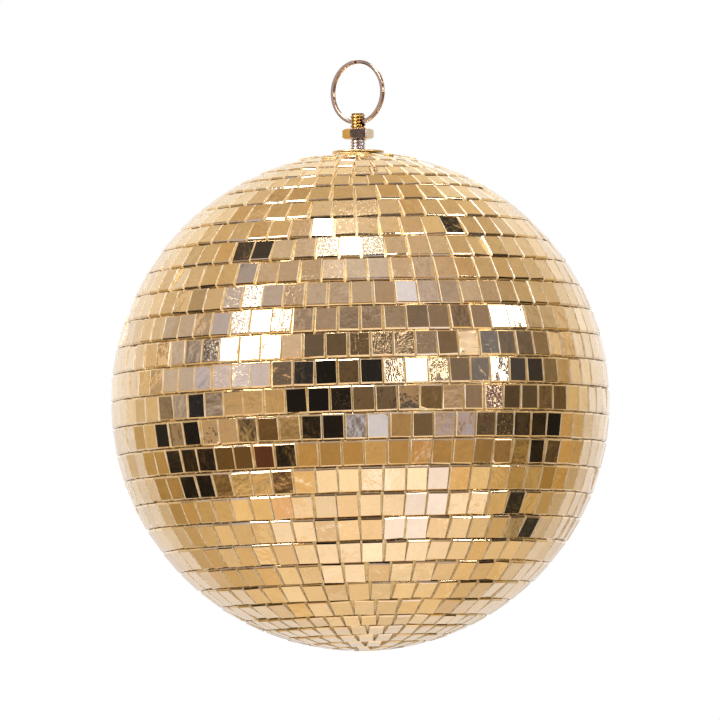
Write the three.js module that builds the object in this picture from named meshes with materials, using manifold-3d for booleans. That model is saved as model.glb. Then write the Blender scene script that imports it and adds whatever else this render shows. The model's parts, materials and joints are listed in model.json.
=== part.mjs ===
// A 200 mm mirror ball: a hollow moulded core covered with strips of glass mirror tiles, hung from a
// cross-drilled stud by a split ring.
// Units are millimetres and +Z is up. The origin is the hanging point, the highest point of the
// split ring's bore. The ring lies in the XZ plane at rest and swings about the X axis of the stud's
// cross hole.
import * as THREE from 'three';
import { mergeVertices } from 'three/addons/utils/BufferGeometryUtils.js';
import Module from 'manifold-3d';

const wasm = await Module();
wasm.setup();

const FIT_GAP = 0.3; // left between pieces that touch

// Split ring: two flat coils of flat wire, 26 mm outside
const RING_OUTER_RADIUS = 13;
const WIRE_WIDTH = 1.5; // along the ring's radius
const WIRE_THICKNESS = 0.65; // along the ring's axis
const COIL_PITCH = 0.85; // from one coil to the other, along the ring's axis
const JOG_START_DEG = 38; // where the front coil starts to cross over, from +X towards +Z
const JOG_END_DEG = 95; // where the crossing ends and the front coil's free end stands
const RING_STEPS = 74;

// Stud and nuts, 1/4 inch with 20 threads to the inch
const STUD_RADIUS = 3.175;
const STUD_ABOVE_FLANGE = 15.1;
const STUD_LENGTH = 38;
const STUD_CHAMFER = 0.5;
const STUD_SIDES = 24;
const CROSS_HOLE_RADIUS = 1.7;
const CROSS_HOLE_ABOVE_FLANGE = 11.4;
const NUT_ACROSS_FLATS = 11.1;
const JAM_NUT_THICKNESS = 4;
const JAM_NUT_ABOVE_FLANGE = 4.8;
const JAM_NUT_TURN_DEG = 6; // how far its flats have turned from the X axis
const INNER_NUT_THICKNESS = 5.6;
const NUT_CHAMFER_DEG = 30;

// Ball
const TILE_FACE_RADIUS = 99.9; // ball centre to the middle of a tile's face
const STRIP_THICKNESS = 2.1; // glass tile and the backing under it
const CORE_RADIUS = 97.4;
const CORE_WALL = 2.2;
const CORE_SIDES = 36;
const CORE_RINGS = 8; // bands of facets from the seam to a pole
const BOSS_HEIGHT = 93; // flat seat under the top of the core, above the ball's centre
const JOINING_RING_RADIUS = 94.2;
const JOINING_RING_WALL = 1.4;
const JOINING_RING_HEIGHT = 12;

// Top flange, a hub with a thin disc on it that covers the ends of the strips
const FLANGE_TOP = 100.8; // above the ball's centre
const FLANGE_RADIUS = 10.5;
const FLANGE_THICKNESS = 0.8;
const FLANGE_HUB_RADIUS = 7;

// Clamping stack inside the core
const BACKING_PLATE_RADIUS = 16;
const BACKING_PLATE_THICKNESS = 1.2;
const WASHER_RADIUS = 7.95;
const WASHER_THICKNESS = 1.6;
const SPRING_WASHER_RADIUS = 6.2;
const SPRING_WASHER_THICKNESS = 1.6;
const SPRING_WASHER_SLIT_DEG = 14;
const ROUND_SIDES = 32;

// Mirror strips: wide tiles over the middle of the ball, small tiles near the poles
const GRID_LEAN_DEG = 1.1; // the strips' common axis leans from the stud's
const GRID_LEAN_AXIS_DEG = -54; // horizontal axis of that lean, from +X towards +Y
const LARGE_STRIPS = 19;
const LARGE_TOP_DEG = 57.1; // latitude of the highest large strip's upper edge
const LARGE_PITCH_DEG = 6.2;
const LARGE_TILE_PITCH = 8.94; // along the strip
const LARGE_STRIP_SPACE = 0.6; // between a strip and the next
const SMALL_STRIPS = 5; // at each pole
const SMALL_PITCH_DEG = 5.1;
const SMALL_TILE_PITCH = 6.8;
const SMALL_STRIP_SPACE = 1.1;
const STAGGER = 0.618; // shift from one strip's tiles to the next, as a share of a tile
const BOTTOM_CAP_RADIUS = 5.6;
const BOTTOM_CAP_SIDES = 8;

const rad = THREE.MathUtils.degToRad;

// Places that follow from the sizes above
const RING_MEAN_RADIUS = RING_OUTER_RADIUS - WIRE_WIDTH / 2;
const RING_CENTRE_Z = WIRE_WIDTH - RING_OUTER_RADIUS;
const BALL_CENTRE_Z = RING_CENTRE_Z - RING_MEAN_RADIUS - CROSS_HOLE_ABOVE_FLANGE - FLANGE_TOP;
const STUD_BORE_RADIUS = STUD_RADIUS + FIT_GAP;
const SMALL_TILES_TOP_DEG = LARGE_TOP_DEG + SMALL_STRIPS * SMALL_PITCH_DEG;
const LARGE_BOTTOM_DEG = LARGE_TOP_DEG - LARGE_STRIPS * LARGE_PITCH_DEG;

const MATERIALS = {
  mirror: { color: 0xe6cf9c, roughness: 0.06, metalness: 1 },
  nickel: { color: 0xd8cfc4, roughness: 0.18, metalness: 1 },
  gilt: { color: 0xd9b764, roughness: 0.3, metalness: 1 },
  core: { color: 0xcfa94f, roughness: 0.45, metalness: 0.2 },
  plastic: { color: 0xe9e6dd, roughness: 0.6, metalness: 0 },
  zinc: { color: 0xb9bcc0, roughness: 0.35, metalness: 1 },
};

function piece(name, geometry, finish) {
  const mesh = new THREE.Mesh(geometry, new THREE.MeshStandardMaterial(MATERIALS[finish]));
  mesh.name = name;
  return mesh;
}

// Turns an outline of [radius, height] pairs round the Z axis. The outline runs anticlockwise, and
// closes on itself or starts and ends on the axis.
function lathe(outline, sides, phase = 0) {
  const points = outline.map(([radius, height]) => new THREE.Vector2(radius, height));
  return new THREE.LatheGeometry(points, sides, phase).rotateX(Math.PI / 2);
}

// A washer-shaped solid with its lower face at z = 0
function washer(inner, outer, thickness, sides = ROUND_SIDES) {
  const outline = [[inner, 0], [outer, 0], [outer, thickness], [inner, thickness], [inner, 0]];
  return lathe(outline, sides);
}

// Upright solid cylinder-like shape from an outline of its outer side, bottom to top
function turned(side, sides) {
  const bottom = side[0][1];
  const top = side[side.length - 1][1];
  return lathe([[0, bottom], ...side, [0, top]], sides);
}

function toManifold(geometry) {
  const bare = geometry.clone();
  bare.deleteAttribute('normal');
  bare.deleteAttribute('uv');
  const merged = mergeVertices(bare, 1e-4);
  return new wasm.Manifold(new wasm.Mesh({
    numProp: 3,
    vertProperties: new Float32Array(merged.attributes.position.array),
    triVerts: new Uint32Array(merged.index.array),
  }));
}

function fromManifold(solid) {
  const mesh = solid.getMesh();
  const geometry = new THREE.BufferGeometry();
  geometry.setAttribute('position', new THREE.BufferAttribute(mesh.vertProperties, 3));
  geometry.setIndex(new THREE.BufferAttribute(mesh.triVerts, 1));
  geometry.computeVertexNormals();
  return geometry;
}

// Centre line of the split ring's wire, from the front coil's free end round to the back coil's.
// Each coil is flat, and the wire crosses from one to the other between the two jog angles.
class SplitRingPath extends THREE.Curve {
  getPoint(t, target = new THREE.Vector3()) {
    const crossing = JOG_END_DEG - JOG_START_DEG;
    const start = JOG_END_DEG;
    const end = start + 720 - crossing;
    const degrees = THREE.MathUtils.lerp(start, end, t);
    const jogFrom = JOG_START_DEG + 360;
    const jog = THREE.MathUtils.smoothstep(degrees, jogFrom, jogFrom + crossing);
    return target.set(
      RING_MEAN_RADIUS * Math.cos(rad(degrees)),
      COIL_PITCH * (jog - 0.5),
      RING_MEAN_RADIUS * Math.sin(rad(degrees)),
    );
  }
}

function splitRing() {
  const [x, y] = [WIRE_THICKNESS / 2, WIRE_WIDTH / 2];
  const section = new THREE.Shape();
  section.moveTo(-x, -y).lineTo(x, -y).lineTo(x, y).lineTo(-x, y);
  section.closePath();
  const geometry = new THREE.ExtrudeGeometry(section, {
    steps: RING_STEPS,
    extrudePath: new SplitRingPath(),
    bevelEnabled: false,
  });
  const ring = piece('split_ring', geometry, 'nickel');
  ring.position.z = RING_CENTRE_Z;
  return ring;
}

// The stud stands on z = 0 at its top flange's upper face.
function stud() {
  const top = STUD_ABOVE_FLANGE;
  const bottom = top - STUD_LENGTH;
  const side = [
    [STUD_RADIUS - STUD_CHAMFER, bottom],
    [STUD_RADIUS, bottom + STUD_CHAMFER],
    [STUD_RADIUS, top - STUD_CHAMFER],
    [STUD_RADIUS - STUD_CHAMFER, top],
  ];
  const drill = new THREE.CylinderGeometry(
    CROSS_HOLE_RADIUS, CROSS_HOLE_RADIUS, 3 * STUD_RADIUS, STUD_SIDES,
  );
  drill.rotateZ(Math.PI / 2).translate(0, 0, CROSS_HOLE_ABOVE_FLANGE);
  const solid = toManifold(turned(side, STUD_SIDES)).subtract(toManifold(drill));
  return piece('threaded_stud', fromManifold(solid), 'nickel');
}

// A chamfered hexagon nut with its lower face at z = 0
function hexNut(name, thickness, finish) {
  const cornerRadius = NUT_ACROSS_FLATS / 2 / Math.cos(rad(30));
  const outline = new THREE.Shape();
  for (let corner = 0; corner < 6; corner += 1) {
    const angle = rad(30 + 60 * corner);
    const [x, y] = [cornerRadius * Math.cos(angle), cornerRadius * Math.sin(angle)];
    if (corner === 0) outline.moveTo(x, y);
    else outline.lineTo(x, y);
  }
  outline.closePath();
  const bore = new THREE.Path();
  bore.absarc(0, 0, STUD_BORE_RADIUS, 0, 2 * Math.PI, true);
  outline.holes.push(bore);
  const prism = new THREE.ExtrudeGeometry(outline, {
    depth: thickness, bevelEnabled: false, curveSegments: STUD_SIDES / 2,
  });
  const faceRadius = NUT_ACROSS_FLATS / 2 * 0.97;
  const rim = cornerRadius + FIT_GAP;
  const drop = (rim - faceRadius) * Math.tan(rad(NUT_CHAMFER_DEG));
  const chamfer = turned(
    [[faceRadius, 0], [rim, drop], [rim, thickness - drop], [faceRadius, thickness]],
    ROUND_SIDES,
  );
  return piece(name, fromManifold(toManifold(prism).intersect(toManifold(chamfer))), finish);
}

function jamNut() {
  const nut = hexNut('jam_nut', JAM_NUT_THICKNESS, 'nickel');
  nut.position.z = JAM_NUT_ABOVE_FLANGE;
  nut.rotation.z = rad(JAM_NUT_TURN_DEG);
  return nut;
}

// Hub and disc in one, with the disc's upper face at z = 0
function topFlange() {
  const hubBottom = CORE_RADIUS + FIT_GAP - FLANGE_TOP;
  return piece('top_flange', lathe([
    [STUD_BORE_RADIUS, hubBottom],
    [FLANGE_HUB_RADIUS, hubBottom],
    [FLANGE_HUB_RADIUS, -FLANGE_THICKNESS],
    [FLANGE_RADIUS, -FLANGE_THICKNESS],
    [FLANGE_RADIUS, 0],
    [STUD_BORE_RADIUS, 0],
    [STUD_BORE_RADIUS, hubBottom],
  ], ROUND_SIDES), 'gilt');
}

// Points of a quarter circle from the seam to a pole, without the pole itself
function quarterArc(radius, fromDeg, toDeg) {
  return Array.from({ length: CORE_RINGS }, (_, i) => {
    const latitude = rad(THREE.MathUtils.lerp(fromDeg, toDeg, i / (CORE_RINGS - 1)));
    return [radius * Math.cos(latitude), radius * Math.sin(latitude)];
  });
}

// Upper half of the core: a dome with the stud's hole and a flat boss round it inside
function upperShell() {
  const inner = CORE_RADIUS - CORE_WALL;
  const seamDeg = THREE.MathUtils.radToDeg(Math.asin(FIT_GAP / 2 / inner));
  const holeDeg = THREE.MathUtils.radToDeg(Math.acos(STUD_BORE_RADIUS / CORE_RADIUS));
  const bossDeg = THREE.MathUtils.radToDeg(Math.asin(BOSS_HEIGHT / inner));
  const outline = [
    ...quarterArc(CORE_RADIUS, seamDeg, holeDeg),
    [STUD_BORE_RADIUS, BOSS_HEIGHT],
    ...quarterArc(inner, seamDeg, bossDeg).reverse(),
  ];
  return piece('upper_core_shell', lathe([...outline, outline[0]], CORE_SIDES), 'core');
}

// Lower half of the core: a plain bowl
function lowerShell() {
  const inner = CORE_RADIUS - CORE_WALL;
  const seamDeg = THREE.MathUtils.radToDeg(Math.asin(FIT_GAP / 2 / inner));
  const lastRingDeg = 90 - 90 / CORE_RINGS;
  const bowl = [
    [0, -CORE_RADIUS],
    ...quarterArc(CORE_RADIUS, -lastRingDeg, -seamDeg),
    ...quarterArc(inner, -seamDeg, -lastRingDeg),
    [0, -inner],
  ];
  return piece('lower_core_shell', lathe(bowl, CORE_SIDES), 'core');
}

function joiningRing() {
  const inner = JOINING_RING_RADIUS - JOINING_RING_WALL;
  const ring = piece(
    'core_joining_ring', washer(inner, JOINING_RING_RADIUS, JOINING_RING_HEIGHT, CORE_SIDES), 'plastic',
  );
  ring.position.z = -JOINING_RING_HEIGHT / 2;
  return ring;
}

function springWasher() {
  const half = rad(SPRING_WASHER_SLIT_DEG / 2);
  const outline = new THREE.Shape();
  outline.absarc(0, 0, SPRING_WASHER_RADIUS, half, 2 * Math.PI - half, false);
  outline.absarc(0, 0, STUD_BORE_RADIUS, 2 * Math.PI - half, half, true);
  outline.closePath();
  const geometry = new THREE.ExtrudeGeometry(outline, {
    depth: SPRING_WASHER_THICKNESS, bevelEnabled: false, curveSegments: STUD_SIDES / 2,
  });
  return piece('spring_washer', geometry, 'zinc');
}

// Plate, washer, spring washer and nut, one under the other below the core's boss
function clampingStack() {
  const stack = [
    [piece('backing_plate',
      washer(STUD_BORE_RADIUS, BACKING_PLATE_RADIUS, BACKING_PLATE_THICKNESS), 'zinc'),
    BACKING_PLATE_THICKNESS],
    [piece('flat_washer', washer(STUD_BORE_RADIUS, WASHER_RADIUS, WASHER_THICKNESS), 'zinc'),
      WASHER_THICKNESS],
    [springWasher(), SPRING_WASHER_THICKNESS],
    [hexNut('inner_nut', INNER_NUT_THICKNESS, 'zinc'), INNER_NUT_THICKNESS],
  ];
  let z = BOSS_HEIGHT;
  return stack.map(([mesh, thickness]) => {
    z -= FIT_GAP + thickness;
    mesh.position.z = z;
    return mesh;
  });
}

// One strip of tiles round the ball: a ring with one flat facet for each tile. Its section is a
// rectangle that lies flat on the core at the strip's middle latitude.
function mirrorStrip(name, latitudeDeg, pitchDeg, tilePitch, space, phase) {
  const latitude = rad(latitudeDeg);
  const [cos, sin] = [Math.cos(latitude), Math.sin(latitude)];
  const tiles = Math.round(2 * Math.PI * TILE_FACE_RADIUS * cos / tilePitch);
  const half = (rad(pitchDeg) * TILE_FACE_RADIUS - space) / 2;
  const toCorner = 1 / Math.cos(Math.PI / tiles);
  const corner = (distance, along) => [
    (distance * cos - along * sin) * toCorner,
    distance * sin + along * cos,
  ];
  const inner = TILE_FACE_RADIUS - STRIP_THICKNESS;
  const outline = [
    corner(inner, -half),
    corner(TILE_FACE_RADIUS, -half),
    corner(TILE_FACE_RADIUS, half),
    corner(inner, half),
  ].map(([radius, height]) => [radius, height - TILE_FACE_RADIUS * sin]);
  const start = 2 * Math.PI / tiles * phase;
  const strip = piece(name, lathe([...outline, outline[0]], tiles, start), 'mirror');
  strip.position.z = TILE_FACE_RADIUS * sin;
  return strip;
}

// All strips from the top down, in a frame that leans a little from the stud
function mirrorStrips() {
  const grid = new THREE.Group();
  const leanAxis = new THREE.Vector3(Math.cos(rad(GRID_LEAN_AXIS_DEG)), Math.sin(rad(GRID_LEAN_AXIS_DEG)), 0);
  grid.quaternion.setFromAxisAngle(leanAxis, rad(GRID_LEAN_DEG));
  const zones = [
    ['top_strip', SMALL_STRIPS, SMALL_TILES_TOP_DEG, SMALL_PITCH_DEG, SMALL_TILE_PITCH, SMALL_STRIP_SPACE],
    ['mirror_strip', LARGE_STRIPS, LARGE_TOP_DEG, LARGE_PITCH_DEG, LARGE_TILE_PITCH, LARGE_STRIP_SPACE],
    ['bottom_strip', SMALL_STRIPS, LARGE_BOTTOM_DEG, SMALL_PITCH_DEG, SMALL_TILE_PITCH,
      SMALL_STRIP_SPACE],
  ];
  let laid = 0;
  for (const [prefix, count, topDeg, pitchDeg, tilePitch, space] of zones) {
    for (let i = 0; i < count; i += 1) {
      const name = `${prefix}_${String(i + 1).padStart(2, '0')}`;
      const latitudeDeg = topDeg - (i + 0.5) * pitchDeg;
      const phase = (laid * STAGGER) % 1;
      grid.add(mirrorStrip(name, latitudeDeg, pitchDeg, tilePitch, space, phase));
      laid += 1;
    }
  }
  const cap = piece(
    'bottom_cap_tile',
    turned([[BOTTOM_CAP_RADIUS, 0], [BOTTOM_CAP_RADIUS, STRIP_THICKNESS]], BOTTOM_CAP_SIDES),
    'mirror',
  );
  cap.position.z = -TILE_FACE_RADIUS;
  grid.add(cap);
  return grid;
}

const fittings = new THREE.Group();
fittings.position.z = FLANGE_TOP;
fittings.add(stud(), jamNut(), topFlange());

const ball = new THREE.Group();
ball.position.z = BALL_CENTRE_Z;
ball.add(upperShell(), lowerShell(), joiningRing(), ...clampingStack(), mirrorStrips(), fittings);

const mirrorBall = new THREE.Group();
mirrorBall.add(splitRing(), ball);

export default mirrorBall;
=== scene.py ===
import json
import math
import random

import bmesh
import bpy
from mathutils import Matrix, Quaternion, Vector


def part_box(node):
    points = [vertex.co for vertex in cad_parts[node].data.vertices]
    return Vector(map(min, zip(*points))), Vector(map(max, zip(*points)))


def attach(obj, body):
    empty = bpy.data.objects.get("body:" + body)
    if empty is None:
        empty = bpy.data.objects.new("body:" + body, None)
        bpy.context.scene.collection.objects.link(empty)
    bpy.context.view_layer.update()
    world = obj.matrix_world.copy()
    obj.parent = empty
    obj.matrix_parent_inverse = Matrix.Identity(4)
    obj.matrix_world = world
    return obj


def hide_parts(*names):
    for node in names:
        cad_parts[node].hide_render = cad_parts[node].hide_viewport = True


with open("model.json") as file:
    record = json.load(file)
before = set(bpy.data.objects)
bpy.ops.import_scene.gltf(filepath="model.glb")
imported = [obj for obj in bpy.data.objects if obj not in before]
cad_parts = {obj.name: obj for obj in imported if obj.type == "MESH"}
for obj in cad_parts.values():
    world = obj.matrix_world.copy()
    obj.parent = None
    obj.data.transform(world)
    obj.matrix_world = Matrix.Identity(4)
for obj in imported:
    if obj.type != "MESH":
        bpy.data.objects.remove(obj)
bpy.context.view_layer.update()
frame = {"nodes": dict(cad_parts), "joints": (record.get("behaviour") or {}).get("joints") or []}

MM = 0.001
TAU = math.tau
rng = random.Random(20)

# Places read from the frame
joint_low, joint_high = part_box("core_joining_ring")
BALL_CENTRE = (joint_low + joint_high) / 2
flange_low, flange_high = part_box("top_flange")
FLANGE_TOP = flange_high.z
FACE_RADIUS = BALL_CENTRE.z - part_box("bottom_cap_tile")[0].z

# Camera, at the height and turn that the ball is seen from
CAMERA_AZIMUTH = math.radians(36)
CAMERA_ELEVATION = math.radians(-2.6)
CAMERA_ROLL = math.radians(-0.5)
CAMERA_DISTANCE = 4.0
CAMERA_LENS = 499.0
AIM_ABOVE_CENTRE = 16.8 * MM
FLOOR_DROP, FLOOR_RADIUS = 3.4, 14


# ---------------- mesh helpers

def new_object(name, data, *materials):
    """A new object in the scene, with its materials in order."""
    for mat in materials:
        data.materials.append(mat)
    obj = bpy.data.objects.new(name, data)
    bpy.context.scene.collection.objects.link(obj)
    return obj


def mesh_from(name, vertices, faces):
    mesh = bpy.data.meshes.new(name)
    mesh.from_pydata([tuple(v) for v in vertices], [], faces)
    mesh.validate()
    return mesh


def spun(radius, angle, height=0):
    """A point at a radius, at an angle round the vertical, at a height."""
    return Vector((radius * math.cos(angle), radius * math.sin(angle), height))


def face_outwards(mesh):
    """Turns the faces of a closed mesh outwards."""
    bm = bmesh.new()
    bm.from_mesh(mesh)
    bmesh.ops.recalc_face_normals(bm, faces=bm.faces)
    bm.to_mesh(mesh)
    bm.free()


def smooth_by_angle(mesh, degrees):
    """Smooth shading, with an edge kept sharp where its faces meet at more than this angle."""
    bm = bmesh.new()
    bm.from_mesh(mesh)
    limit = math.radians(degrees)
    for face in bm.faces:
        face.smooth = True
    for edge in bm.edges:
        edge.smooth = len(edge.link_faces) == 2 and edge.calc_face_angle(0) < limit
    bm.to_mesh(mesh)
    bm.free()


def grid_faces(rows, columns, close_rows=False):
    """Quads over a grid of points that closes on itself across its columns."""
    faces = []
    last = rows if close_rows else rows - 1
    for i in range(last):
        for j in range(columns):
            a = i * columns + j
            b = i * columns + (j + 1) % columns
            c = ((i + 1) % rows) * columns + (j + 1) % columns
            d = ((i + 1) % rows) * columns + j
            faces.append((a, b, c, d))
    return faces


def turned(name, outline, sides, centre, closed=False):
    """Turns (radius, height) pairs about the vertical through centre. The outline runs anticlockwise, and
    closes on itself, or starts and ends on the axis."""
    ends = [] if closed else [outline[0], outline[-1]]
    rings = outline if closed else outline[1:-1]
    points = []
    for radius, height in rings:
        points += [centre + spun(radius, TAU * k / sides, height) for k in range(sides)]
    faces = grid_faces(len(rings), sides, close_rows=closed)
    for index, (_, height) in enumerate(ends):
        points.append(centre + Vector((0, 0, height)))
        pole = len(points) - 1
        ring = 0 if index == 0 else (len(rings) - 1) * sides
        for k in range(sides):
            a, b = ring + k, ring + (k + 1) % sides
            faces.append((pole, b, a) if index == 0 else (pole, a, b))
    return mesh_from(name, points, faces)


def arc(centre, radius, start_deg, end_deg, steps):
    """Points of a rounded corner in an outline."""
    angles = [math.radians(start_deg + (end_deg - start_deg) * i / steps) for i in range(steps + 1)]
    return [(centre[0] + radius * math.cos(a), centre[1] + radius * math.sin(a)) for a in angles]


# ---------------- material helpers

class Nodes:
    """The node tree of a material or a world, and short ways to fill it."""

    def __init__(self, owner):
        owner.use_nodes = True
        self.owner, self.tree, self.shader = owner, owner.node_tree, None
        self.tree.nodes.clear()

    def add(self, kind, inputs=(), **settings):
        node = self.tree.nodes.new(kind)
        for key, value in settings.items():
            setattr(node, key, value)
        for key, value in dict(inputs).items():
            self.put(node.inputs[key], value)
        return node

    def put(self, socket, value):
        if isinstance(value, bpy.types.NodeSocket):
            self.tree.links.new(value, socket)
        else:
            socket.default_value = value

    def maths(self, operation, *values):
        node = self.add("ShaderNodeMath", operation=operation)
        for socket, value in zip(node.inputs, values):
            self.put(socket, value)
        return node.outputs[0]

    def plus(self, a, b):
        return self.maths("ADD", a, b)

    def times(self, a, b):
        return self.maths("MULTIPLY", a, b)

    def between(self, value, low, high, to_low=0.0, to_high=1.0):
        """Smooth step of a value from low to high."""
        node = self.add("ShaderNodeMapRange", {
            "Value": value, "From Min": low, "From Max": high, "To Min": to_low, "To Max": to_high,
        }, interpolation_type="SMOOTHSTEP")
        return node.outputs["Result"]

    def noise(self, coords, scale, detail=3.0, roughness=0.55, distortion=0.0):
        node = self.add("ShaderNodeTexNoise", {
            "Vector": coords, "Scale": scale, "Detail": detail, "Roughness": roughness,
            "Distortion": distortion,
        })
        return node.outputs["Fac"]

    def channels(self, colour):
        return self.add("ShaderNodeSeparateColor", {"Color": colour}).outputs

    def scaled(self, coords, scale):
        return self.add("ShaderNodeMapping", {"Vector": coords, "Scale": scale}).outputs["Vector"]

    def mix(self, factor, a, b, blend="MIX"):
        node = self.add("ShaderNodeMix", data_type="RGBA", blend_type=blend)
        self.put(node.inputs["Factor"], factor)
        self.put(node.inputs["A"], a)
        self.put(node.inputs["B"], b)
        return node.outputs["Result"]

    def ramp(self, factor, stops, interpolation="LINEAR"):
        node = self.add("ShaderNodeValToRGB", {"Fac": factor})
        ramp = node.color_ramp
        ramp.interpolation = interpolation
        while len(ramp.elements) < len(stops):
            ramp.elements.new(0.5)
        for element, (place, colour) in zip(ramp.elements, stops):
            element.position = place
            element.color = (*colour, 1)
        return node.outputs["Color"]

    def bump(self, height, strength, distance, normal=None):
        node = self.add("ShaderNodeBump", {"Height": height, "Strength": strength, "Distance": distance})
        if normal is not None:
            self.put(node.inputs["Normal"], normal)
        return node.outputs["Normal"]

    def surface(self, colour, roughness, normal=None):
        """Fills the shader's sockets that vary over the surface, and gives back the finished material."""
        self.put(self.shader.inputs["Base Color"], colour)
        self.put(self.shader.inputs["Roughness"], roughness)
        if normal is not None:
            self.put(self.shader.inputs["Normal"], normal)
        return self.owner


def material(name, constants):
    """The nodes of a new Principled material. constants are the shader's plain values."""
    nodes = Nodes(bpy.data.materials.new(name))
    nodes.shader = nodes.add("ShaderNodeBsdfPrincipled", constants)
    out = nodes.add("ShaderNodeOutputMaterial")
    nodes.put(out.inputs["Surface"], nodes.shader.outputs["BSDF"])
    return nodes, nodes.add("ShaderNodeTexCoord").outputs["Object"]


# ---------------- materials

GOLD_TINT = (0.96, 0.71, 0.39, 1)


def mirror_material():
    """Gold-silvered glass. The attribute 'tile' holds each tile's own tone, wear, tint and dust."""
    n, coords = material("gold_mirror", {
        "Metallic": 1.0, "Coat Weight": 0.8, "Coat Roughness": 0.28, "Coat IOR": 1.6,
    })
    tile = n.add("ShaderNodeAttribute", attribute_name="tile")
    tone, wear, tint = n.channels(tile.outputs["Color"])
    warm = n.mix(tint, GOLD_TINT, (0.98, 0.755, 0.47, 1))
    shade = n.between(tone, 0, 1, 0.90, 1.0)
    grey = n.add("ShaderNodeCombineColor", {"Red": shade, "Green": shade, "Blue": shade}).outputs[0]
    base = n.mix(1.0, warm, grey, "MULTIPLY")
    mottle = n.noise(coords, 190, 6, 0.75)
    base = n.mix(n.between(mottle, 0.42, 0.66, 0, 0.20), base, (0.66, 0.50, 0.31, 1))

    # Dust, smears and scratches, which worn tiles have more of
    worn = n.between(wear, 0.45, 1.0)
    dusty = tile.outputs["Alpha"]
    dust = n.between(n.noise(coords, 1500, 3), 0.42, 0.72)
    smear = n.between(n.noise(coords, 130, 5, 0.65), 0.48, 0.72)
    lines = []
    for turn, stretch in (((0.3, 0.9, 0.5), (4200, 330, 330)), ((1.4, 0.2, 2.1), (330, 3800, 330))):
        turned_coords = n.add("ShaderNodeMapping", {"Vector": coords, "Rotation": turn, "Scale": stretch})
        streaks = n.noise(turned_coords.outputs["Vector"], 1, 2, 0.5, 0.4)
        lines.append(n.between(streaks, 0.60, 0.68))
    scratch = n.maths("MAXIMUM", *lines)
    dull = n.times(dust, n.plus(0.05, n.times(dusty, 0.26)))
    dull = n.plus(dull, n.times(smear, n.times(dusty, 0.13)))
    base = n.mix(n.times(scratch, 0.22), base, (0.98, 0.90, 0.76, 1))

    crackle = n.add("ShaderNodeTexVoronoi", {"Vector": coords, "Scale": 1300.0, "Randomness": 1.0},
                    feature="DISTANCE_TO_EDGE").outputs["Distance"]
    normal = n.bump(n.noise(coords, 110, 3), 1.0, 0.12 * MM)
    relief = n.plus(n.between(crackle, 0, 0.10), n.times(scratch, 1.6))
    node = n.add("ShaderNodeBump", {"Height": relief, "Distance": 0.03 * MM, "Normal": normal})
    n.put(node.inputs["Strength"], n.times(worn, 0.36))
    return n.surface(base, n.plus(0.02, dull), node.outputs["Normal"])


def cut_edge_material():
    """The long cut sides of a tile: glass, gold with backing paint on some tiles, and on the others a painted
    reflection of the unlit room, near black.
    """
    n, coords = material("cut_glass_edge", {
        "Metallic": 0.0, "IOR": 1.7, "Coat Weight": 1.0, "Coat Roughness": 0.08, "Coat IOR": 1.7,
    })
    tile = n.add("ShaderNodeAttribute", attribute_name="tile")
    tone = n.channels(tile.outputs["Color"])[0]
    chips = n.noise(n.scaled(coords, (700, 700, 2000)), 1, 3)
    # Painted reflection: near-black sides that stand for the unlit room reflected in the cut glass, not a
    # colour of the glass
    painted_dark_reflection = n.ramp(chips, [
        (0.42, (0.05, 0.028, 0.014)), (0.60, (0.22, 0.14, 0.06)), (0.78, (0.8, 0.64, 0.36)),
    ])
    gold = n.ramp(chips, [
        (0.30, (0.34, 0.21, 0.07)), (0.52, (0.66, 0.46, 0.19)), (0.72, (0.95, 0.84, 0.58)),
    ])
    # Each tile's tone picks either the painted reflection or the gold of the backing paint
    colour = n.mix(n.between(tone, 0.45, 0.6), painted_dark_reflection, gold)
    return n.surface(colour, n.between(chips, 0.3, 0.7, 0.10, 0.30), n.bump(chips, 0.5, 0.05 * MM))


def snapped_edge_material():
    """The short snapped sides of a tile: frosted glass that glows with the gold behind it."""
    n, coords = material("snapped_glass_edge", {
        "Metallic": 0.0, "IOR": 1.5, "Coat Weight": 1.0, "Coat Roughness": 0.2, "Coat IOR": 1.5,
    })
    grain = n.noise(n.scaled(coords, (1200, 1200, 260)), 1, 3)
    colour = n.ramp(grain, [
        (0.28, (0.71, 0.49, 0.21)), (0.45, (0.88, 0.72, 0.44)), (0.62, (0.98, 0.92, 0.80)),
    ])
    return n.surface(colour, n.between(grain, 0.3, 0.7, 0.35, 0.15), n.bump(grain, 0.5, 0.06 * MM))


def backing_material():
    """Gold-faced paper that the tiles are glued to, with its weave and dots of clear glue."""
    n, coords = material("gold_backing", {
        "Metallic": 0.55, "Coat Weight": 0.8, "Coat Roughness": 0.22,
    })
    fibre = n.noise(coords, 900, 5, 0.65)
    glue = n.noise(coords, 220, 2)
    gold = n.ramp(fibre, [(0.3, (0.68, 0.46, 0.14)), (0.5, (0.88, 0.65, 0.27)), (0.7, (0.97, 0.82, 0.48))])
    colour = n.mix(n.between(glue, 0.52, 0.70, 0, 0.5), gold, (0.99, 0.94, 0.84, 1))
    relief = n.bump(fibre, 0.35, 0.08 * MM, n.bump(glue, 0.6, 0.25 * MM))
    return n.surface(colour, n.between(glue, 0.4, 0.7, 0.42, 0.16), relief)


def core_material():
    """Moulded plastic under sprayed gold paint, with an orange-peel skin and thin spots."""
    n, coords = material("gold_paint", {
        "Metallic": 0.4, "Coat Weight": 0.2, "Coat Roughness": 0.3,
    })
    peel = n.noise(coords, 500, 2)
    cover = n.noise(coords, 60, 5, 0.6)
    colour = n.ramp(cover, [
        (0.3, (0.42, 0.26, 0.07)), (0.5, (0.62, 0.41, 0.13)), (0.72, (0.80, 0.58, 0.24)),
    ])
    return n.surface(colour, n.between(peel, 0.3, 0.7, 0.3, 0.5), n.bump(peel, 0.3, 0.1 * MM))


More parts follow.
